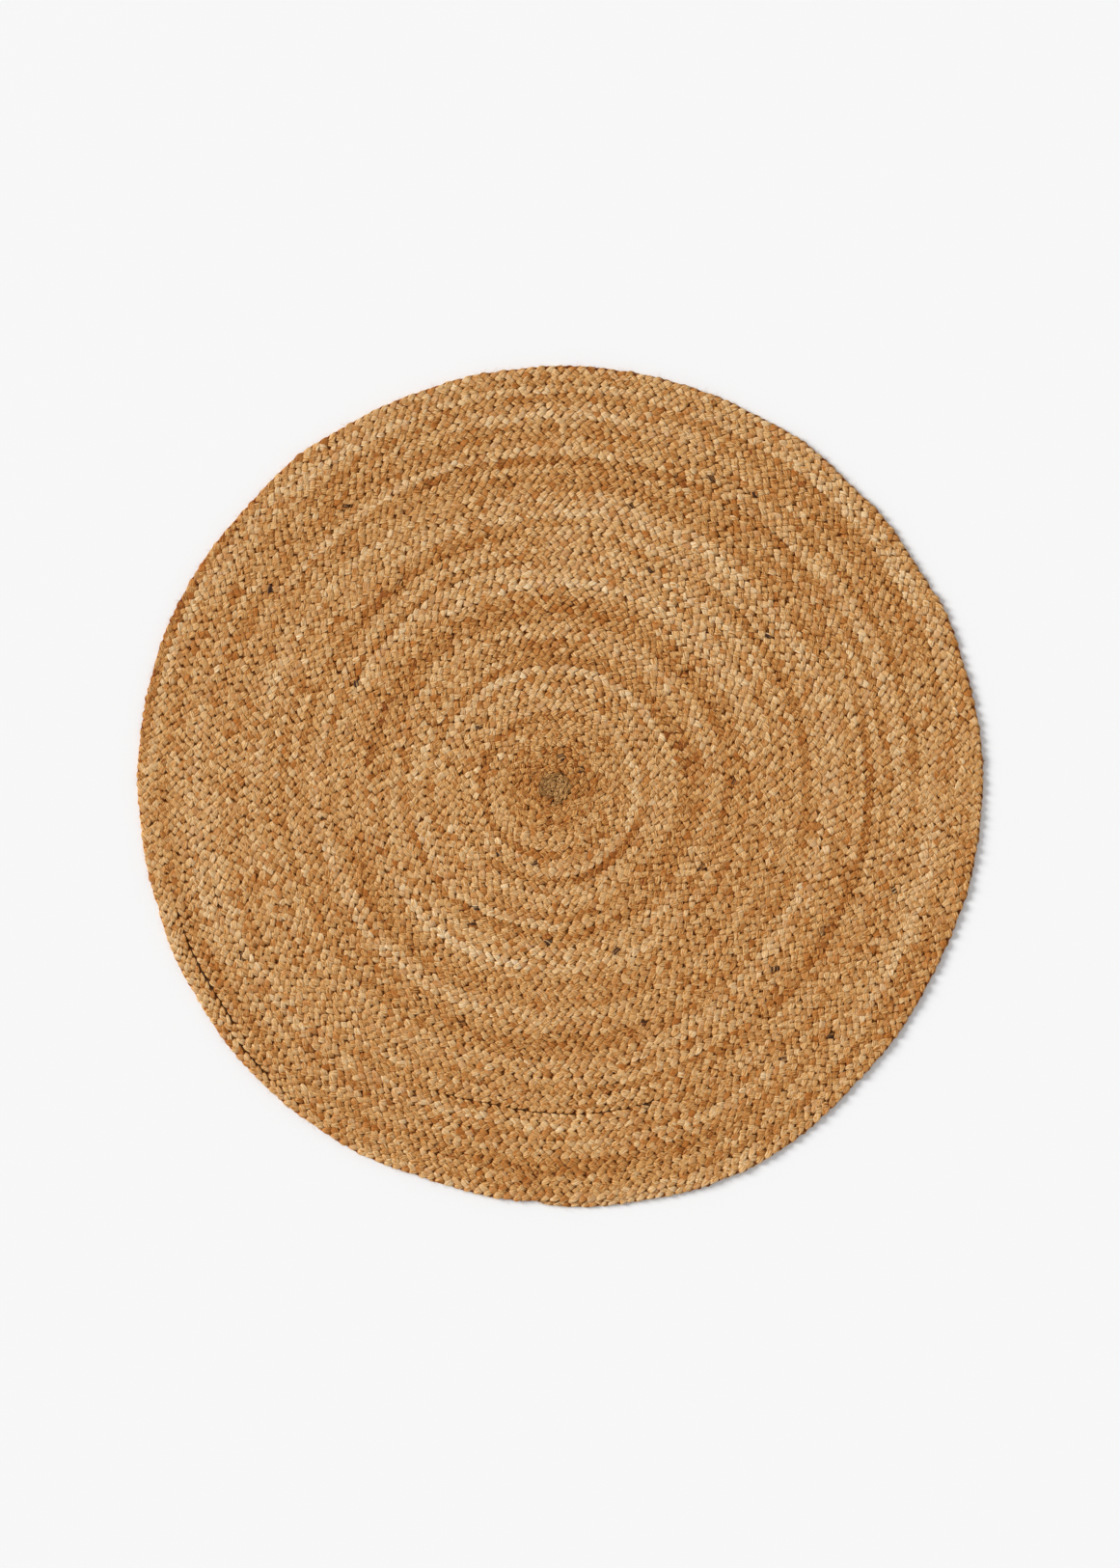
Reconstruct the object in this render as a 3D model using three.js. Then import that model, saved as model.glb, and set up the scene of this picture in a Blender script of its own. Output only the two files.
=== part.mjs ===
// A round area rug: one long three-strand jute plait, coiled flat from the centre outwards
// and sewn to itself edge to edge. Millimetres, +Z up, the underside on z = 0.
//
// Places along the coil are given by a sweep in degrees: 0 where the first turn leaves the
// centre, 360 where the second turn begins, and so on. Seen from above it runs clockwise.
import * as THREE from 'three';

// The coil
const RIM_RADIUS = 606.3; // outer edge of the plait where the coil ends
const TURN_COUNT = 46;
const PLAIT_PITCH = 12.55; // from one turn to the next, the width of the plait
const START_BEARING = 268; // degrees from +X: the ray on which the coil starts and ends

// The plait's section: flat above and below, its edges leaning in towards the top
const PLAIT_THICKNESS = 8;
const SHOULDER = 1.4; // how far each edge leans in
const SEAM_GAP = 0.3; // between neighbouring turns

// The outer end narrows over this stretch, and is pressed flat and sewn down
const TAIL_SWEEP = 22.5;
const TAIL_END_WIDTH = 0.5; // share of the full width at the very end
const TAIL_END_THICKNESS = 0.6; // share of the full thickness at the very end

// The thread that joins the turns lies in the groove between their tops
const THREAD_WIDTH = 1.2;
const THREAD_TOP = 5.2;

// The coil isn't a true circle: waves per turn, height at the rim, bearing of a crest
const RIM_WAVES = [
  [1, 7.7, 12],
  [2, 1.3, 24],
  [3, 1.1, 37],
  [4, 1.6, 20],
  [5, 1.9, 7],
  [6, 1.3, -5],
];

// Straight steps around a turn: the small turns near the centre need fewer
const INNER_STEPS = 16;
const OUTER_STEPS = 32;
const LAST_INNER_TURN = 13;

const JUTE = { color: 0xb78653, roughness: 0.85, metalness: 0 };
const WORN_JUTE = { color: 0xa57845, roughness: 0.9, metalness: 0 };
const THREAD = { color: 0xd3b585, roughness: 0.8, metalness: 0 };

function stepsInTurn(turn) {
  return turn > LAST_INNER_TURN ? OUTER_STEPS : INNER_STEPS;
}

// Radius of the seam on the outer side of the plait. A sweep of -360 to 0 is the centre's edge.
function seamRadius(sweep) {
  const spiral = RIM_RADIUS - PLAIT_PITCH * (TURN_COUNT - sweep / 360);
  const bearing = START_BEARING - sweep;
  let rise = 0;
  for (const [count, height, crest] of RIM_WAVES) {
    rise += height * Math.cos(THREE.MathUtils.degToRad(count * (bearing - crest)));
  }
  return spiral * (1 + rise / RIM_RADIUS);
}

function at(radius, sweep, z) {
  const angle = THREE.MathUtils.degToRad(START_BEARING - sweep);
  return new THREE.Vector3(radius * Math.cos(angle), radius * Math.sin(angle), z);
}

// The sweep that opens one seam gap between two ends that meet on the same ray
function endGap(radius) {
  return THREE.MathUtils.radToDeg(SEAM_GAP / radius);
}

// A closed body through a row of rings, each a loop of the same number of points.
function loft(rings) {
  const sides = rings[0].length;
  const last = (rings.length - 1) * sides;
  const indices = [];
  for (let start = 0; start < last; start += sides) {
    for (let side = 0; side < sides; side += 1) {
      const a = start + side;
      const b = start + ((side + 1) % sides);
      indices.push(a, b, b + sides);
      indices.push(a, b + sides, a + sides);
    }
  }
  for (let corner = 1; corner < sides - 1; corner += 1) {
    indices.push(0, corner + 1, corner);
    indices.push(last, last + corner, last + corner + 1);
  }
  const geometry = new THREE.BufferGeometry().setFromPoints(rings.flat());
  geometry.setIndex(indices);
  geometry.computeVertexNormals();
  return geometry;
}

// Sweeps at which the coil has a corner, from one end of a stretch to the other.
function cornerSweeps(from, to, steps) {
  const sweeps = [];
  for (let sweep = from; sweep < to; sweep += 360 / steps) {
    sweeps.push(sweep);
  }
  sweeps.push(to);
  return sweeps;
}

// The plait cut across at one sweep.
function plaitSection(sweep, widthShare = 1, thicknessShare = 1) {
  const inner = seamRadius(sweep - 360) + SEAM_GAP / 2;
  const fullWidth = seamRadius(sweep) - SEAM_GAP / 2 - inner;
  const outer = inner + fullWidth * widthShare;
  const top = PLAIT_THICKNESS * thicknessShare;
  const lean = SHOULDER * widthShare;
  return [
    at(outer, sweep, 0),
    at(outer - lean, sweep, top),
    at(inner + lean, sweep, top),
    at(inner, sweep, 0),
  ];
}

function plaitTurn(turn) {
  const from = 360 * (turn - 1);
  const end = turn < TURN_COUNT ? 360 * turn : 360 * turn - TAIL_SWEEP;
  const to = end - endGap(seamRadius(from));
  return loft(cornerSweeps(from, to, stepsInTurn(turn)).map((sweep) => plaitSection(sweep)));
}

function plaitTail() {
  const to = 360 * TURN_COUNT;
  const from = to - TAIL_SWEEP;
  const rings = cornerSweeps(from, to, OUTER_STEPS).map((sweep) => {
    const done = (sweep - from) / TAIL_SWEEP;
    const width = THREE.MathUtils.lerp(1, TAIL_END_WIDTH, done);
    const thickness = THREE.MathUtils.lerp(1, TAIL_END_THICKNESS, done);
    return plaitSection(sweep, width, thickness);
  });
  return loft(rings);
}

// The tight start of the plait fills the middle. Its edge follows the first turn, and a
// radial step in it faces the end of the first turn.
function centreCoil() {
  const to = -endGap(seamRadius(-360));
  const sweeps = cornerSweeps(-360, to, INNER_STEPS);
  const outline = (lean, z) => {
    const radiusAt = (sweep) => seamRadius(sweep) - SEAM_GAP / 2 - lean;
    const step = at(radiusAt(-360), to, z);
    return [step, ...sweeps.map((sweep) => at(radiusAt(sweep), sweep, z))];
  };
  return loft([outline(SHOULDER, PLAIT_THICKNESS), outline(0, 0)]);
}

// One thread along every seam, wedge-shaped as it is pulled down between two turns.
function seamThread() {
  const sweeps = [];
  for (let turn = 0; turn < TURN_COUNT; turn += 1) {
    const from = 360 * (turn - 1);
    const corners = cornerSweeps(from, from + 360, stepsInTurn(turn + 1));
    sweeps.push(...corners.slice(0, -1));
  }
  sweeps.push(360 * (TURN_COUNT - 1));
  const half = THREAD_WIDTH / 2;
  return loft(sweeps.map((sweep) => [
    at(seamRadius(sweep), sweep, THREAD_TOP - THREAD_WIDTH),
    at(seamRadius(sweep) + half, sweep, THREAD_TOP),
    at(seamRadius(sweep) - half, sweep, THREAD_TOP),
  ]));
}

function addPiece(group, name, geometry, finish) {
  const mesh = new THREE.Mesh(geometry, new THREE.MeshStandardMaterial(finish));
  mesh.name = name;
  group.add(mesh);
}

const rug = new THREE.Group();
addPiece(rug, 'centre_coil', centreCoil(), WORN_JUTE);
for (let turn = 1; turn <= TURN_COUNT; turn += 1) {
  addPiece(rug, `plait_turn_${String(turn).padStart(2, '0')}`, plaitTurn(turn), JUTE);
}
addPiece(rug, 'plait_tail', plaitTail(), JUTE);
addPiece(rug, 'seam_thread', seamThread(), THREAD);

// The coil is wound about a point a little off the middle of its outline, so it is moved
// until the middle of its outline stands over the origin.
const middle = new THREE.Box3().setFromObject(rug).getCenter(new THREE.Vector3());
rug.position.set(-middle.x, -middle.y, 0);

export default rug;
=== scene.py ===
"""The round jute rug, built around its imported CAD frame.

Each turn of the coil is one piece made of its three strands, which pass over and under each
other as in any flat plait. Lengths are in metres. Places along the coil are given by a sweep
in degrees, 0 where the first turn leaves the centre and 360 more for every turn; seen from
above it runs clockwise.
"""

import math

import bpy
import numpy as np
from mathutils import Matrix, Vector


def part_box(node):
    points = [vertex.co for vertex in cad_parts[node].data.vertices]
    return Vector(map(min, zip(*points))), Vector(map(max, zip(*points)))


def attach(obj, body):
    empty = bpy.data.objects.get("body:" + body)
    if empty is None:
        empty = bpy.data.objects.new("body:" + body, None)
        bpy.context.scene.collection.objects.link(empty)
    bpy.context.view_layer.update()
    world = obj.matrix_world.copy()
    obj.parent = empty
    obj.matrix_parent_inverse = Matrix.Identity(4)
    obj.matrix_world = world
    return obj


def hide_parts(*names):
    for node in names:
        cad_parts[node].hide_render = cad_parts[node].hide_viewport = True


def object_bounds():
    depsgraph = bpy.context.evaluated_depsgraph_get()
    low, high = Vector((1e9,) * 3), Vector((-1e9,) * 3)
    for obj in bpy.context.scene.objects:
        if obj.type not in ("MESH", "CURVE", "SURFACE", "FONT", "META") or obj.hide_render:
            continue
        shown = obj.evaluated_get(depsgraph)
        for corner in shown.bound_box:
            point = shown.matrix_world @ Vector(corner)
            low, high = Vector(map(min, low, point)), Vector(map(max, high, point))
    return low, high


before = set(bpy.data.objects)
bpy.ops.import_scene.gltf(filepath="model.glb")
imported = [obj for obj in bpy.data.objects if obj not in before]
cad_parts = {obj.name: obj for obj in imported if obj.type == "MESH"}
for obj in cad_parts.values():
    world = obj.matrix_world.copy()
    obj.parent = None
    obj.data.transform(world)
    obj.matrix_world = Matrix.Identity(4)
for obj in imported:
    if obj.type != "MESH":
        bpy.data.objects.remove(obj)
cad_box = [list(corner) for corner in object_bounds()]

# --- Driving values -------------------------------------------------------------------------

MM = 0.001

# The coil, as in the CAD part
RIM_RADIUS = 606.3 * MM
TURN_COUNT = 46
PLAIT_PITCH = 12.55 * MM
START_BEARING = 268.0
PLAIT_THICKNESS = 8 * MM
SEAM_GAP = 0.3 * MM
CENTRE_STEPS = 16
TAIL_SWEEP = 22.5
TAIL_END_WIDTH = 0.5
TAIL_END_THICKNESS = 0.6
TIP_SWEEP = 3.0  # the very end is rounded off over this sweep
TIP_ROUNDING = 0.96  # 1 would bring it to a point
RIM_WAVES = (  # waves per turn, height at the rim, bearing of a crest
    (1, 7.7 * MM, 12),
    (2, 1.3 * MM, 24),
    (3, 1.1 * MM, 37),
    (4, 1.6 * MM, 20),
    (5, 1.9 * MM, 7),
    (6, 1.3 * MM, -5),
)

# The plait. Widths are shares of half the plait's width, heights of its thickness.
STRAND_COUNT = 3
CROSSING_PITCH = 13.4 * MM  # between neighbouring crossings on one side
PITCH_VARIATION = 0.10  # share, from one stretch of plait to the next
PITCH_STRETCH = 0.11
CENTRE_TIGHTENING = 0.22  # share by which the crossings are closer at the centre
TIGHT_RADIUS = 110 * MM
STRAND_REACH = 0.80
STRAND_HALF_WIDTH = 0.79  # where it lies flat on top
CROSSING_NARROWING = 0.06  # share of its width a strand loses halfway down
EDGE_NARROWING = 0.45  # and as it folds over at the edge
UNDERSIDE_SPREAD = 0.18  # share of its width a strand gains where it lies on the floor
STRAND_HALF_HEIGHT = 0.145
EDGE_THICKENING = 0.9
STRAND_RISE = 0.315
RISE_LEAD = 0.24  # radians by which a strand is highest before halfway to the edge
FLATNESS = 2.2  # how long it stays flat on top before it dives under
STEEPENING = -0.01  # below 0 the strands cross the middle at a shallower angle
PAINTED_CREVICE_SHADE = 0.9  # painted shade deep between the strands
PAINTED_SHADE_DEPTH = 0.17  # share of the thickness on either side of its middle
STEPS_PER_PERIOD = 24

# How unevenly it is plaited
ADVANCE_JITTER = 0.34  # radians by which a crossing comes early or late
REACH_JITTER = 0.05
RISE_JITTER = 0.025
WIDTH_JITTER = 0.24
ROLL_JITTER = 0.28  # radians by which a strand is tilted

SECTION = (  # a flat strip with a slight crown and thin edges
    (1.0, 0.0),
    (0.94, 0.72),
    (0.7, 1.0),
    (-0.7, 1.0),
    (-0.94, 0.72),
    (-1.0, 0.0),
    (-0.72, -0.9),
    (0.72, -0.9),
)

# Where two turns have pulled apart: first and last place, in turns, and the opening
SEAM_OPENINGS = (
    (43.13, 43.20, 4.4 * MM),
    (44.10, 44.15, 3.6 * MM),
    (34.92, 35.08, 3.4 * MM),
)

SEED = 41

# --- The coil -------------------------------------------------------------------------------


def smooth_noise(x, seed):
    """Smooth noise between -1 and 1 with about one bump for every unit of x."""
    table = np.random.default_rng(SEED + seed).uniform(-1, 1, 8192)
    cell = np.floor(x).astype(int)
    share = x - cell
    share = share * share * (3 - 2 * share)
    return table[cell % 8192] * (1 - share) + table[(cell + 1) % 8192] * share


def seam_radius(sweep):
    """Radius of the seam outside the plait on a coil without wobble."""
    spiral = RIM_RADIUS - PLAIT_PITCH * (TURN_COUNT - sweep / 360)
    bearing = START_BEARING - sweep
    rise = sum(
        height * np.cos(np.radians(count * (bearing - crest)))
        for count, height, crest in RIM_WAVES
    )
    return spiral * (1 + rise / RIM_RADIUS)


def unit_at(sweep):
    angle = np.radians(START_BEARING - sweep)
    return np.cos(angle), np.sin(angle)


def find_middle():
    """The point the coil is wound about: the CAD centre coil's box less its outline's own."""
    sweeps = np.linspace(-360, 0, CENTRE_STEPS + 1)
    across, up = unit_at(sweeps)
    radius = seam_radius(sweeps) - SEAM_GAP / 2
    low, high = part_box("centre_coil")
    x = (low[0] + high[0] - (radius * across).min() - (radius * across).max()) / 2
    y = (low[1] + high[1] - (radius * up).min() - (radius * up).max()) / 2
    return x, y


MIDDLE = find_middle()

WOBBLE_WAVES = 18
WOBBLE_HEIGHT = 0.42 * MM
OVAL_HEIGHT = 1.8 * MM
OVAL_FADE = 70 * MM
OVAL_BEARING = 25.0


def wobble(radius, sweep):
    """How far a seam strays from the perfect coil. Neighbours stray together."""
    across, up = unit_at(sweep)
    random = np.random.default_rng(SEED)
    total = np.zeros_like(radius)
    for _ in range(WOBBLE_WAVES):
        heading, phase = random.uniform(0, 2 * math.pi, 2)
        wavelength = random.uniform(110 * MM, 320 * MM)
        travel = radius * (across * math.cos(heading) + up * math.sin(heading))
        total += WOBBLE_HEIGHT * np.sin(2 * math.pi * travel / wavelength + phase)
    total *= radius / (radius + 60 * MM)
    oval = np.cos(np.radians(2 * (START_BEARING - sweep - OVAL_BEARING)))
    return total + OVAL_HEIGHT * oval * np.exp(-((radius / OVAL_FADE) ** 2))


def opening(sweep):
    """How far the seam at this sweep has pulled apart."""
    total = np.zeros_like(sweep)
    for first, last, width in SEAM_OPENINGS:
        share = np.clip((sweep / 360 - first) / (last - first), 0, 1)
        total += width * np.sin(math.pi * share) ** 0.7
    return total


def tail_shares(sweep):
    """Share of the plait's full width and thickness, which fall off over the tail."""
    done = np.clip((sweep - 360 * TURN_COUNT + TAIL_SWEEP) / TAIL_SWEEP, 0, 1)
    tip = np.clip((sweep - 360 * TURN_COUNT) / TIP_SWEEP + 1, 0, 1)
    width = (1 - (1 - TAIL_END_WIDTH) * done) * np.sqrt(1 - TIP_ROUNDING * tip**2)
    return width, 1 - (1 - TAIL_END_THICKNESS) * done


def seam_at(sweep):
    """Radius of the seam outside the plait on the real, wobbly coil."""
    radius = seam_radius(sweep)
    return radius + wobble(radius, sweep)


def plait_edges(sweep):
    """Inner and outer radius of the plait."""
    inner = seam_at(sweep - 360) + opening(sweep - 360) / 2
    outer = seam_at(sweep) - opening(sweep) / 2
    width_share, _ = tail_shares(sweep)
    return inner, inner + (outer - inner) * width_share


def coil_phases():
    """Sweep, the plait's phase there (2 pi for each strand period) and its length so far."""
    sweeps = np.arange(-360.0, 360 * TURN_COUNT + 361, 1.0)
    radius = seam_radius(sweeps) - PLAIT_PITCH / 2
    length = np.concatenate([[0], np.cumsum(np.radians(1.0) * radius[1:])])
    variation = PITCH_VARIATION * smooth_noise(length / PITCH_STRETCH, 1)
    period = STRAND_COUNT * CROSSING_PITCH * (1 + variation)
    period *= 1 - CENTRE_TIGHTENING * np.exp(-((radius / TIGHT_RADIUS) ** 2))
    phase = np.concatenate([[0], np.cumsum(np.diff(length) * 2 * math.pi / period[1:])])
    return sweeps, phase, length


COIL_SWEEPS, COIL_PHASES, COIL_LENGTHS = coil_phases()


def phase_at(sweep):
    return np.interp(sweep, COIL_SWEEPS, COIL_PHASES)


def sweep_at(phase):
    return np.interp(phase, COIL_PHASES, COIL_SWEEPS)


def length_at(sweep):
    return np.interp(sweep, COIL_SWEEPS, COIL_LENGTHS)


# --- Meshes ---------------------------------------------------------------------------------


def round_section(points):
    around = np.arange(points) * 2 * math.pi / points
    return np.stack([np.cos(around), np.sin(around)], -1)


def tube(path, ahead, half_width, half_height, roll, section):
    """Rings of a tube along path, and the place of each point in its own section."""
    tangent = ahead / np.linalg.norm(ahead, axis=1, keepdims=True)
    side = np.cross(tangent, (0.0, 0.0, 1.0))
    side /= np.linalg.norm(side, axis=1, keepdims=True)
    normal = np.cross(side, tangent)
    cos_roll, sin_roll = np.cos(roll)[:, None], np.sin(roll)[:, None]
    side, normal = side * cos_roll + normal * sin_roll, normal * cos_roll - side * sin_roll
    section = np.asarray(section)
    wide = half_width[:, None] * section[None, :, 0]
    high = half_height[:, None] * section[None, :, 1]
    rings = (
        path[:, None, :]
        + wide[:, :, None] * side[:, None, :]
        + high[:, :, None] * normal[:, None, :]
    )
    return rings, wide, high


def add_piece(name, strands, material, replaced=()):
    """One object made of closed strands, riding on the rug.

    Each strand is its rings, its tone at every point and its fibre coordinate at every point.
    """
    quads, caps, base = [], [], 0
    for rings, _, _ in strands:
        count, around = rings.shape[:2]
        index = base + np.arange(count * around).reshape(count, around)
        beside = np.roll(index, -1, axis=1)
        quads.append(
            np.stack([index[:-1], index[1:], beside[1:], beside[:-1]], -1).reshape(-1, 4)
        )
        caps += [index[0], index[-1][::-1]]
        base += count * around
    quads = np.concatenate(quads)
    corners = np.concatenate([quads.ravel(), *caps])
    sizes = np.concatenate([np.full(len(quads), 4), [len(cap) for cap in caps]])
    starts = np.concatenate([[0], np.cumsum(sizes)[:-1]])
    points = np.concatenate([rings.reshape(-1, 3) for rings, _, _ in strands])
    smooth = np.arange(len(sizes)) < len(quads)

    mesh = bpy.data.meshes.new(name)
    mesh.vertices.add(len(points))
    mesh.vertices.foreach_set("co", points.ravel())
    mesh.loops.add(len(corners))
    mesh.loops.foreach_set("vertex_index", corners.astype(np.int32))
    mesh.polygons.add(len(sizes))
    mesh.polygons.foreach_set("loop_start", starts.astype(np.int32))
    mesh.polygons.foreach_set("use_smooth", smooth)
    mesh.update(calc_edges=True)
    for order, title in ((1, "tone"), (2, "fibre")):
        values = np.concatenate([strand[order].reshape(-1, 3) for strand in strands])
        layer = mesh.attributes.new(title, "FLOAT_VECTOR", "POINT")
        layer.data.foreach_set("vector", values.astype(np.float32).ravel())
    mesh.materials.append(material)

    piece = bpy.data.objects.new(name, mesh)
    bpy.context.collection.objects.link(piece)
    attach(piece, "root")
    if replaced:
        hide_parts(*replaced)
    return piece


# --- The plait ------------------------------------------------------------------------------

# Lengths of plait from a darker or lighter lot of jute: first and last place in turns, change
TONE_ARCS = (
    (19.24, 19.60, -0.22),
    (19.60, 19.90, -0.12),
    (19.00, 19.17, 0.18),
    (36.00, 36.10, -0.18),
    (35.40, 35.65, -0.10),
    (33.70, 33.85, -0.12),
    (27.25, 27.50, -0.12),
    (22.10, 22.20, -0.12),
    (14.40, 14.55, -0.12),
    (8.80, 8.95, -0.16),
    (21.40, 21.55, 0.12),
    (17.35, 17.45, 0.14),
    (31.45, 31.55, 0.12),
)


# Lightness from 0 to 1, and by how much it varies
BASE_LIGHT = 0.515
CROSSING_LIGHT = 0.045  # from one visible crossing to the next
STRAND_LIGHT = 0.10  # along each strand
STRAND_STRETCH = 0.33
PLAIT_LIGHT = 0.15  # along the whole plait
PLAIT_STRETCH = 0.5
CENTRE_PAINTED_SHADE = 0.23  # painted shade: the middle of the rug is darker, for the shade of its deeper relief, and it is also less red, within this radius
CENTRE_FADING = 0.25
CENTRE_SHADE_AND_FADE_RADIUS = 80 * MM
RUST_SIZE = 0.035  # rust-coloured patches along a strand
RUST_DARKENING = 0.19
RUST_REDNESS = 0.35
DIRT_LIMIT = 2.8  # standard deviations past which a crossing is soiled


def strand_tone(phase, sweep, strand):
    """Lightness, redness and dirt of a strand, mostly its own for each visible crossing."""
    turned = phase + 2 * math.pi * strand / STRAND_COUNT
    crossing = np.floor((turned + RISE_LEAD / 2) / math.pi - 0.75)
    own = np.random.default_rng(SEED + 100 + strand).normal(0, 1, (8192, 3))
    own = own[crossing.astype(int) % 8192]
    length = length_at(sweep)
    light = BASE_LIGHT + CROSSING_LIGHT * own[:, 0]
    light += STRAND_LIGHT * smooth_noise(length / STRAND_STRETCH + 97 * strand, 7)
    light += PLAIT_LIGHT * smooth_noise(length / PLAIT_STRETCH, 8)
    for first, last, change in TONE_ARCS:
        share = np.clip((sweep / 360 - first) / (last - first), 0, 1)
        light += change * np.minimum(1, 3 * np.sin(math.pi * share))
    radius = seam_radius(sweep)
    centre_nearness = np.exp(-((radius / CENTRE_SHADE_AND_FADE_RADIUS) ** 2))
    # Painted shade: lightness is lowered near the middle
    light -= CENTRE_PAINTED_SHADE * centre_nearness
    red = 0.5 + 0.17 * own[:, 1] + 0.15 * smooth_noise(length / 0.2 + 31 * strand, 9)
    red -= CENTRE_FADING * centre_nearness
    rust = smooth_noise(length / RUST_SIZE + 53 * strand, 10)
    rust = np.clip(rust / 0.3 - 1.8, 0, 1)
    light -= RUST_DARKENING * rust
    red += RUST_REDNESS * rust
    dirt = np.where(own[:, 2] > DIRT_LIMIT, 1.0, 0.0)
    return np.stack([np.clip(light, 0, 1), np.clip(red, 0, 1), dirt], -1)


def strand_path(phase, strand, place):
    """Middle line of a strand, and half the plait's width and its thickness there."""
    turned = phase + 2 * math.pi * strand / STRAND_COUNT
    turned += ADVANCE_JITTER * smooth_noise(turned / 2.3 + 10 * strand, 20)
    swing = (np.sin(turned) + STEEPENING * np.sin(3 * turned)) / (1 - STEEPENING)
    jitter = REACH_JITTER * smooth_noise(turned / 2.1 + 40 * strand, 21)
    x, y, half, thickness = place(phase, STRAND_REACH * swing + jitter)
    rise = np.tanh(FLATNESS * np.sin(2 * turned + RISE_LEAD)) / math.tanh(FLATNESS)
    rise *= STRAND_RISE
    rise += RISE_JITTER * smooth_noise(turned / 1.7 + 60 * strand, 22)
    z = thickness * (0.5 + rise)
    return np.stack([x, y, z], -1), half, thickness


def plait(phase, place, tone):
    """The three strands of a length of plait, for one piece."""
    strands = []
    small = 0.02
    for strand in range(STRAND_COUNT):
        path, half, thickness = strand_path(phase, strand, place)
        ahead = strand_path(phase + small, strand, place)[0]
        ahead -= strand_path(phase - small, strand, place)[0]
        turned = phase + 2 * math.pi * strand / STRAND_COUNT
        edge = np.sin(turned) ** 6
        fullness = 1 + WIDTH_JITTER * smooth_noise(turned / 1.9 + 80 * strand, 23)
        fullness -= CROSSING_NARROWING * np.cos(2 * turned) ** 2
        fullness += UNDERSIDE_SPREAD * np.clip(-np.sin(2 * turned), 0, 1)
        roll = ROLL_JITTER * smooth_noise(turned / 1.4 + 20 * strand, 24)
        half_width = STRAND_HALF_WIDTH * half * (1 - EDGE_NARROWING * edge) * fullness
        half_height = STRAND_HALF_HEIGHT * thickness * (1 + EDGE_THICKENING * edge)
        rings, wide, high = tube(path, ahead, half_width, half_height, roll, SECTION)
        rings[..., 2] = np.maximum(rings[..., 2], 0)  # pressed flat where it meets the floor
        along = np.broadcast_to((length_at(sweep_at(phase)) / MM)[:, None], wide.shape)
        fibre = np.stack([wide / MM + 30 * strand, high / MM, 0.1 * along], -1)
        colour = np.tile(tone(phase, strand)[:, None], (1, len(SECTION), 1))
        # Painted shade: strands are made darker near the plait's mid-height, deep between the
        # others
        height = rings[..., 2] / thickness[:, None] - 0.5
        colour[..., 0] -= PAINTED_CREVICE_SHADE * np.clip(1 - np.abs(height) / PAINTED_SHADE_DEPTH, 0, 1)
        strands.append((rings, colour, fibre))
    return strands


LEAN = 0.85  # the tight first turns lean over, which brings their strands together
LEAN_RADIUS = 78 * MM
LEAN_STRETCH = 0.07
LEAN_GATHERING = 0.6  # share of their reach that the strands lose
LEAN_SPREAD = 0.3  # share of their width that they gain


def lean_at(sweep):
    """How far the plait leans over: 0 where it lies flat, 1 where it stands on its edge."""
    share = LEAN * np.exp(-((seam_radius(sweep) / LEAN_RADIUS) ** 4))
    noise = smooth_noise(length_at(sweep) / LEAN_STRETCH, 40)
    return share * np.clip(0.5 + 1.2 * noise, 0, 1)


def coil_place(phase, share):
    """Plan position in the coil; share is -1 at the plait's inner edge, 1 at the outer."""
    sweep = sweep_at(phase)
    inner, outer = plait_edges(sweep)
    lean = lean_at(sweep)
    share = share * (1 - LEAN_GATHERING * lean)
    radius = (inner + outer) / 2 + share * (outer - inner) / 2
    across, up = unit_at(sweep)
    _, thickness_share = tail_shares(sweep)
    half = (1 + LEAN_SPREAD * lean) * (outer - inner) / 2
    thickness = PLAIT_THICKNESS * thickness_share
    return MIDDLE[0] + radius * across, MIDDLE[1] + radius * up, half, thickness


def coil_tone(phase, strand):
    return strand_tone(phase, sweep_at(phase), strand)


def coil_strands(first_sweep, last_sweep):
    """The strands of the coil between two sweeps."""
    first, last = phase_at(first_sweep), phase_at(last_sweep)
    steps = max(4, round((last - first) / (2 * math.pi) * STEPS_PER_PERIOD))
    return plait(np.linspace(first, last, steps + 1), coil_place, coil_tone)


# --- The centre -----------------------------------------------------------------------------

RING_HALF_WIDTH = 3.9 * MM
RING_SLIMNESS = 0.6  # the strands swing less there, as the plait stands on its edge
KNOT_LANES = 5
KNOT_HALF_WIDTH = 4.6 * MM
KNOT_LANE_GAP = 7.0 * MM
KNOT_STRAIGHT = 21 * MM
KNOT_THICKNESS = 7.2 * MM
KNOT_BEARING = math.radians(36)
KNOT_OFFSET = (3.2 * MM, 0.2 * MM)
KNOT_PERIOD = 29 * MM


def ring_place(phase, share):
    """Plan position in the narrow turn of plait round the centre."""
    sweep = sweep_at(phase)
    radius = seam_at(sweep) + (RING_SLIMNESS * share - 1) * RING_HALF_WIDTH
    across, up = unit_at(sweep)
    half = np.full_like(radius, RING_HALF_WIDTH)
    thickness = np.full_like(radius, PLAIT_THICKNESS)
    return MIDDLE[0] + radius * across, MIDDLE[1] + radius * up, half, thickness


def knot_line():
    """The folded start of the plait: straight lanes joined by hairpin bends."""
    points = []
    for lane in range(KNOT_LANES):
        way = 1 if lane % 2 == 0 else -1
        y = (lane - (KNOT_LANES - 1) / 2) * KNOT_LANE_GAP
        for share in np.linspace(-1, 1, 9):
            points.append((way * share * KNOT_STRAIGHT / 2, y))
        if lane < KNOT_LANES - 1:
            for angle in np.linspace(-math.pi / 2, math.pi / 2, 9)[1:-1]:
                bend = KNOT_LANE_GAP / 2
                x = way * (KNOT_STRAIGHT / 2 + bend * math.cos(angle))
                points.append((x, y + bend + bend * math.sin(angle)))
    line = np.array(points)
    lengths = np.linalg.norm(np.diff(line, axis=0), axis=1)
    return line, np.concatenate([[0], np.cumsum(lengths)])


KNOT_LINE, KNOT_LENGTHS = knot_line()


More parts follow.
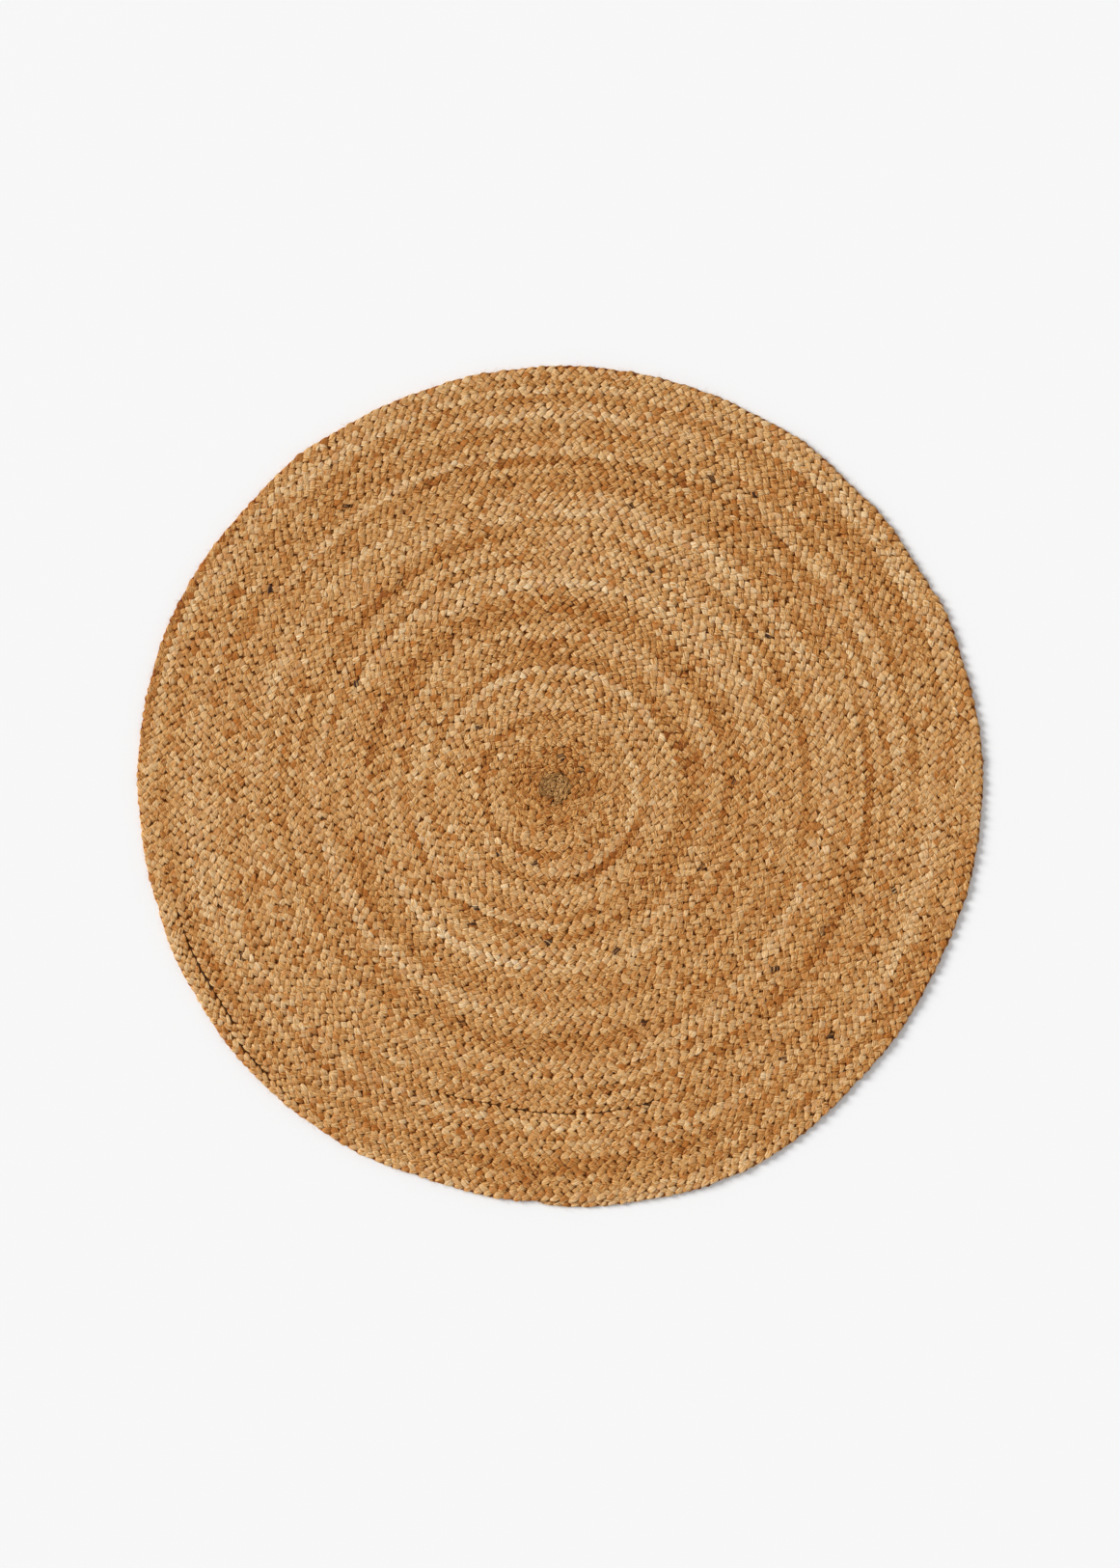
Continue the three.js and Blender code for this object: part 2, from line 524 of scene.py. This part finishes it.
def knot_place(phase, share):
    """Plan position in the folded plait at the very centre."""
    travel = phase / (2 * math.pi) * KNOT_PERIOD
    spot = [np.interp(travel, KNOT_LENGTHS, KNOT_LINE[:, axis]) for axis in (0, 1)]
    ahead = [np.interp(travel + MM, KNOT_LENGTHS, KNOT_LINE[:, axis]) for axis in (0, 1)]
    behind = [np.interp(travel - MM, KNOT_LENGTHS, KNOT_LINE[:, axis]) for axis in (0, 1)]
    run = np.stack([ahead[0] - behind[0], ahead[1] - behind[1]])
    run /= np.linalg.norm(run, axis=0)
    x = spot[0] + share * KNOT_HALF_WIDTH * run[1]
    y = spot[1] - share * KNOT_HALF_WIDTH * run[0]
    cos_turn, sin_turn = math.cos(KNOT_BEARING), math.sin(KNOT_BEARING)
    half = np.full_like(x, KNOT_HALF_WIDTH)
    thickness = np.full_like(x, KNOT_THICKNESS)
    return (
        MIDDLE[0] + KNOT_OFFSET[0] + x * cos_turn - y * sin_turn,
        MIDDLE[1] + KNOT_OFFSET[1] + x * sin_turn + y * cos_turn,
        half,
        thickness,
    )


def knot_tone(phase, strand):
    """As on the coil, but from its own stretch of the pattern."""
    return strand_tone(phase + 900 * math.pi, np.full_like(phase, 200.0), strand)


def centre_strands():
    first, last = phase_at(-357), phase_at(0)
    steps = round((last - first) / (2 * math.pi) * STEPS_PER_PERIOD)
    ring = plait(np.linspace(first, last, steps + 1), ring_place, coil_tone)
    end = 2 * math.pi * KNOT_LENGTHS[-1] / KNOT_PERIOD
    steps = round(end / (2 * math.pi) * STEPS_PER_PERIOD)
    return ring + plait(np.linspace(0, end, steps + 1), knot_place, knot_tone)


# --- The sewing thread ----------------------------------------------------------------------

THREAD_RADIUS = 1.2 * MM
THREAD_SWING = 1.5 * MM  # how far the needle goes into the plait on either side of a seam
THREAD_STITCH = 14 * MM
THREAD_HEIGHT = 4.0 * MM
THREAD_STEPS = 4  # for each stitch
THREAD_POINTS = 4


def thread_strand():
    """One thread that zigzags along every seam, from the centre to the rim."""
    first, last = length_at(-358), length_at(360 * (TURN_COUNT - 1))
    steps = round((last - first) / THREAD_STITCH * THREAD_STEPS)
    length = np.linspace(first, last, steps + 1)
    sweep = np.interp(length, COIL_LENGTHS, COIL_SWEEPS)
    turned = np.arange(steps + 1) * 2 * math.pi / THREAD_STEPS
    radius = seam_at(sweep) + THREAD_SWING * np.sin(turned)
    across, up = unit_at(sweep)
    path = np.stack(
        [
            MIDDLE[0] + radius * across,
            MIDDLE[1] + radius * up,
            THREAD_HEIGHT + 0.5 * MM * np.cos(turned),
        ],
        -1,
    )
    width = np.full(len(path), THREAD_RADIUS)
    rings, wide, high = tube(
        path,
        np.gradient(path, axis=0),
        width,
        width,
        np.zeros(len(path)),
        round_section(THREAD_POINTS),
    )
    along = np.broadcast_to(length[:, None] / MM, wide.shape)
    fibre = np.stack([wide / MM, high / MM, along], -1)
    tone = np.zeros_like(rings)
    shade = np.clip(opening(sweep) / (2 * MM), 0, 1)  # painted shade: the thread is darker where a seam is open
    tone[..., 0] = (0.42 + 0.1 * smooth_noise(length / 0.05, 31) - 0.6 * shade)[:, None]
    return rings, tone, fibre


# --- Loose fibres ---------------------------------------------------------------------------

HAIR_STEPS = 7
FACE_HAIRS = 1100
RIM_HAIRS = 420
FRAYS = (  # bearing, arc length, count, length, thickness and lightness of each frayed spot
    (3.5, 5 * MM, 16, 7 * MM, 0.42 * MM, 0.15),
    (280.0, 14 * MM, 16, 6 * MM, 0.24 * MM, 0.25),
    (269.0, 16 * MM, 12, 7 * MM, 0.16 * MM, 0.75),
    (271.5, 10 * MM, 8, 10 * MM, 0.12 * MM, 0.95),
)


def hair(start, heading, length, radius, fall, bend, light):
    """One loose fibre: a thin tapering tube that bends sideways and rises or falls."""
    share = np.linspace(0, 1, HAIR_STEPS)
    turn = heading + bend * share
    step = length / (HAIR_STEPS - 1)
    x = start[0] + np.cumsum(np.cos(turn)) * step
    y = start[1] + np.cumsum(np.sin(turn)) * step
    z = start[2] + fall * np.sin(share * math.pi / 2)
    path = np.stack([x, y, z], -1)
    width = radius * (1 - 0.7 * share**2)
    rings, wide, high = tube(
        path,
        np.gradient(path, axis=0),
        width,
        width,
        np.zeros(HAIR_STEPS),
        round_section(4),
    )
    along = np.broadcast_to(share[:, None] * length / MM, wide.shape)
    fibre = np.stack([wide / MM + start[0] / MM, high / MM, along], -1)
    tone = np.zeros_like(rings)
    tone[..., 0] = light
    tone[..., 1] = 0.45
    return rings, tone, fibre


def rim_point(bearing, inset):
    """A point just inside the rim at this bearing."""
    sweep = np.array([360 * TURN_COUNT - (bearing - START_BEARING) % 360])
    radius = plait_edges(sweep)[1][0] - inset
    angle = math.radians(bearing)
    return MIDDLE[0] + radius * math.cos(angle), MIDDLE[1] + radius * math.sin(angle)


def loose_fibres():
    random = np.random.default_rng(SEED + 500)
    hairs = []
    for _ in range(FACE_HAIRS):
        radius = RIM_RADIUS * 0.97 * math.sqrt(random.uniform(0.001, 1))
        angle = random.uniform(0, 2 * math.pi)
        x = MIDDLE[0] + radius * math.cos(angle)
        y = MIDDLE[1] + radius * math.sin(angle)
        heading = angle - math.pi / 2 + random.normal(0, 0.8)
        start = (x, y, PLAIT_THICKNESS * random.uniform(0.86, 0.97))
        length = random.uniform(5 * MM, 17 * MM)
        thick = random.uniform(0.08 * MM, 0.16 * MM)
        rise = random.uniform(-0.3 * MM, 1.0 * MM)
        light = random.uniform(0.4, 1.0)
        hairs.append(hair(start, heading, length, thick, rise, random.normal(0, 1), light))
    for _ in range(RIM_HAIRS):
        bearing = random.uniform(0, 360)
        x, y = rim_point(bearing, 1.5 * MM)
        heading = math.radians(bearing) + random.normal(0, 0.9)
        height = random.uniform(1.5 * MM, 6 * MM)
        length = random.uniform(4 * MM, 11 * MM)
        thick = random.uniform(0.08 * MM, 0.15 * MM)
        fall = -random.uniform(0, height - 0.5 * MM)
        light = random.uniform(0.3, 0.9)
        hairs.append(
            hair((x, y, height), heading, length, thick, fall, random.normal(0, 1), light)
        )
    for bearing, arc, count, length, thick, light in FRAYS:
        spread = math.degrees(arc / RIM_RADIUS)
        for _ in range(count):
            place = bearing + random.uniform(-0.5, 0.5) * spread
            x, y = rim_point(place, 2.5 * MM)
            heading = math.radians(place) + random.normal(0, 0.6)
            height = random.uniform(2 * MM, 7 * MM)
            fall = -random.uniform(0, 0.6) * (height - MM)
            reach = length * random.uniform(0.5, 1.1)
            shade = light + random.uniform(-0.05, 0.15)
            hairs.append(
                hair((x, y, height), heading, reach, thick, fall, random.normal(0, 1), shade)
            )
    return hairs


# --- Materials ------------------------------------------------------------------------------


def srgb(red, green, blue):
    """A colour as a screen shows it, 0 to 255, turned into what the colour sockets take."""
    values = []
    for value in (red / 255, green / 255, blue / 255):
        dark = value <= 0.04045
        values.append(value / 12.92 if dark else ((value + 0.055) / 1.055) ** 2.4)
    return (*values, 1.0)


def new_node(tree, kind, inputs=None, **settings):
    """A node with its settings. Each input is a value, or the socket that feeds it."""
    node = tree.nodes.new(kind)
    for name, value in settings.items():
        setattr(node, name, value)
    for name, value in (inputs or {}).items():
        if isinstance(value, bpy.types.NodeSocket):
            tree.links.new(value, node.inputs[name])
        else:
            node.inputs[name].default_value = value
    return node


def maths(tree, operation, *values):
    inputs = dict(enumerate(values))
    return new_node(tree, "ShaderNodeMath", inputs, operation=operation).outputs[0]


def mixed(tree, share, first, second, blend="MIX"):
    """Two colours mixed: inputs 6 and 7 of the node are its colours, output 2 the result."""
    inputs = {0: share, 6: first, 7: second}
    return new_node(
        tree, "ShaderNodeMix", inputs, data_type="RGBA", blend_type=blend
    ).outputs[2]


def ramp(tree, value, stops):
    """A colour ramp through stops of (place, colour)."""
    node = new_node(tree, "ShaderNodeValToRGB", {0: value})
    elements = node.color_ramp.elements
    while len(elements) < len(stops):
        elements.new(0.5)
    for element, (place, colour) in zip(elements, stops):
        element.position = place
        element.color = colour
    return node.outputs[0]


BUNDLE_SCALE = 0.42  # cells for each unit of the fibre coordinate: bundles 2.4 mm wide


def jute(name, stops, rust, dirt):
    """Dry jute: a colour from each strand's tone, with fine streaks along the strand."""
    material = bpy.data.materials.new(name)
    material.use_nodes = True
    tree = material.node_tree
    tree.nodes.clear()
    tone = new_node(tree, "ShaderNodeAttribute", attribute_name="tone").outputs["Vector"]
    light, red, soiled = new_node(tree, "ShaderNodeSeparateXYZ", {0: tone}).outputs
    fibre = new_node(tree, "ShaderNodeAttribute", attribute_name="fibre").outputs["Vector"]
    streaks = new_node(
        tree,
        "ShaderNodeTexNoise",
        {"Vector": fibre, "Scale": 1.1, "Detail": 4.0, "Roughness": 0.8},
    ).outputs[0]
    bundles = new_node(
        tree,
        "ShaderNodeTexVoronoi",
        {"Vector": fibre, "Scale": BUNDLE_SCALE, "Randomness": 1.0},
        feature="DISTANCE_TO_EDGE",
    ).outputs["Distance"]
    bundles = maths(tree, "MULTIPLY", bundles, 9.0)
    bundles = new_node(tree, "ShaderNodeClamp", {0: bundles}).outputs[0]
    # Painted shade: the colour is darker along the grooves between fibre bundles, where the
    # bump is lowest
    level = maths(tree, "MULTIPLY_ADD", bundles, 0.45, maths(tree, "SUBTRACT", light, 1.25))
    streaked = maths(tree, "MULTIPLY_ADD", streaks, 1.8, level)
    relief = maths(tree, "MULTIPLY_ADD", bundles, 0.5, streaks)
    colour = ramp(tree, streaked, stops)
    rusty = maths(tree, "MULTIPLY", maths(tree, "SUBTRACT", red, 0.45), 1.1)
    rusty = new_node(tree, "ShaderNodeClamp", {0: rusty}).outputs[0]
    colour = mixed(tree, rusty, colour, rust)
    blotch = new_node(tree, "ShaderNodeTexNoise", {"Vector": fibre, "Scale": 0.4}).outputs[0]
    blotch = maths(tree, "MULTIPLY", maths(tree, "SUBTRACT", blotch, 0.4), 8)
    blotch = new_node(tree, "ShaderNodeClamp", {0: blotch}).outputs[0]
    colour = mixed(tree, maths(tree, "MULTIPLY", soiled, blotch), colour, dirt)
    bump = new_node(
        tree, "ShaderNodeBump", {"Strength": 0.8, "Distance": 0.7 * MM, "Height": relief}
    ).outputs[0]
    roughness = maths(tree, "MULTIPLY_ADD", streaks, -0.25, 0.85)
    shader = new_node(
        tree,
        "ShaderNodeBsdfPrincipled",
        {"Base Color": colour, "Roughness": roughness, "Normal": bump},
    )
    shader.inputs["Specular IOR Level"].default_value = 0.25
    new_node(tree, "ShaderNodeOutputMaterial", {0: shader.outputs[0]})
    return material


def plain(name, colour, roughness):
    """A matt, paper-like surface."""
    material = bpy.data.materials.new(name)
    material.use_nodes = True
    shader = material.node_tree.nodes["Principled BSDF"]
    shader.inputs["Base Color"].default_value = colour
    shader.inputs["Roughness"].default_value = roughness
    shader.inputs["Specular IOR Level"].default_value = 0.2
    return material


PLAIT_JUTE = jute(
    "jute_plait",
    (
        (0.0, srgb(114, 48, 0)),
        (0.25, srgb(178, 110, 36)),
        (0.5, srgb(210, 158, 92)),
        (0.75, srgb(225, 187, 135)),
        (1.0, srgb(240, 216, 178)),
    ),
    srgb(178, 104, 34),
    srgb(58, 29, 8),
)
CENTRE_JUTE = jute(
    "jute_centre",
    (
        (0.0, srgb(94, 56, 17)),
        (0.25, srgb(164, 114, 56)),
        (0.5, srgb(202, 156, 98)),
        (0.75, srgb(212, 172, 120)),
        (1.0, srgb(228, 196, 150)),
    ),
    srgb(166, 106, 54),
    srgb(56, 36, 20),
)

SEWING_THREAD = jute(
    "sewing_thread",
    (
        (0.0, srgb(96, 56, 20)),
        (0.5, srgb(152, 102, 50)),
        (1.0, srgb(196, 148, 92)),
    ),
    srgb(150, 100, 50),
    srgb(60, 40, 20),
)

# --- Pieces ---------------------------------------------------------------------------------

tail_start = 360 * TURN_COUNT - TAIL_SWEEP
for turn in range(1, TURN_COUNT + 1):
    end = 360 * turn if turn < TURN_COUNT else tail_start
    title = f"plait_turn_{turn:02d}"
    strands = coil_strands(360 * (turn - 1), end)
    add_piece(f"{title}_strands", strands, PLAIT_JUTE, [title])
add_piece(
    "plait_tail_strands",
    coil_strands(tail_start, 360 * TURN_COUNT),
    PLAIT_JUTE,
    ["plait_tail"],
)
add_piece(
    "centre_coil_strands",
    centre_strands(),
    CENTRE_JUTE,
    ["centre_coil"],
)

add_piece("loose_fibres", loose_fibres(), PLAIT_JUTE)
add_piece(
    "seam_thread_stitches",
    [thread_strand()],
    SEWING_THREAD,
    ["seam_thread"],
)

# --- Stage, light and camera ----------------------------------------------------------------

bpy.ops.mesh.primitive_plane_add(size=60)
floor = bpy.context.object
floor.name = "floor"
floor.data.materials.append(plain("floor_paper", (0.9, 0.9, 0.9, 1), 0.9))

world = bpy.data.worlds.new("studio")
bpy.context.scene.world = world
world.use_nodes = True
world.node_tree.nodes["Background"].inputs[0].default_value = (1, 1, 1, 1)
world.node_tree.nodes["Background"].inputs[1].default_value = 0.52

KEY_BEARING = 160.0
KEY_ELEVATION = 30.0
key_data = bpy.data.lights.new("key", "SUN")
key_data.energy = 3.23
key_data.angle = math.radians(26)
key = bpy.data.objects.new("key", key_data)
bpy.context.collection.objects.link(key)
key.rotation_euler = (0, math.radians(90 - KEY_ELEVATION), math.radians(KEY_BEARING))

CAMERA_LENS = 100.0
CAMERA_SENSOR = 36.0
FRAME_HEIGHT = 2.239
CAMERA_SHIFT = 2.8 * MM
camera_data = bpy.data.cameras.new("camera")
camera_data.lens = CAMERA_LENS
camera_data.sensor_width = CAMERA_SENSOR
camera = bpy.data.objects.new("camera", camera_data)
bpy.context.collection.objects.link(camera)
low, high = np.array(cad_box[0]), np.array(cad_box[1])
camera.location = (
    (low[0] + high[0]) / 2,
    (low[1] + high[1]) / 2 + CAMERA_SHIFT,
    high[2] + FRAME_HEIGHT * CAMERA_LENS / CAMERA_SENSOR,
)
bpy.context.scene.camera = camera
bpy.context.scene.view_settings.view_transform = "Standard"
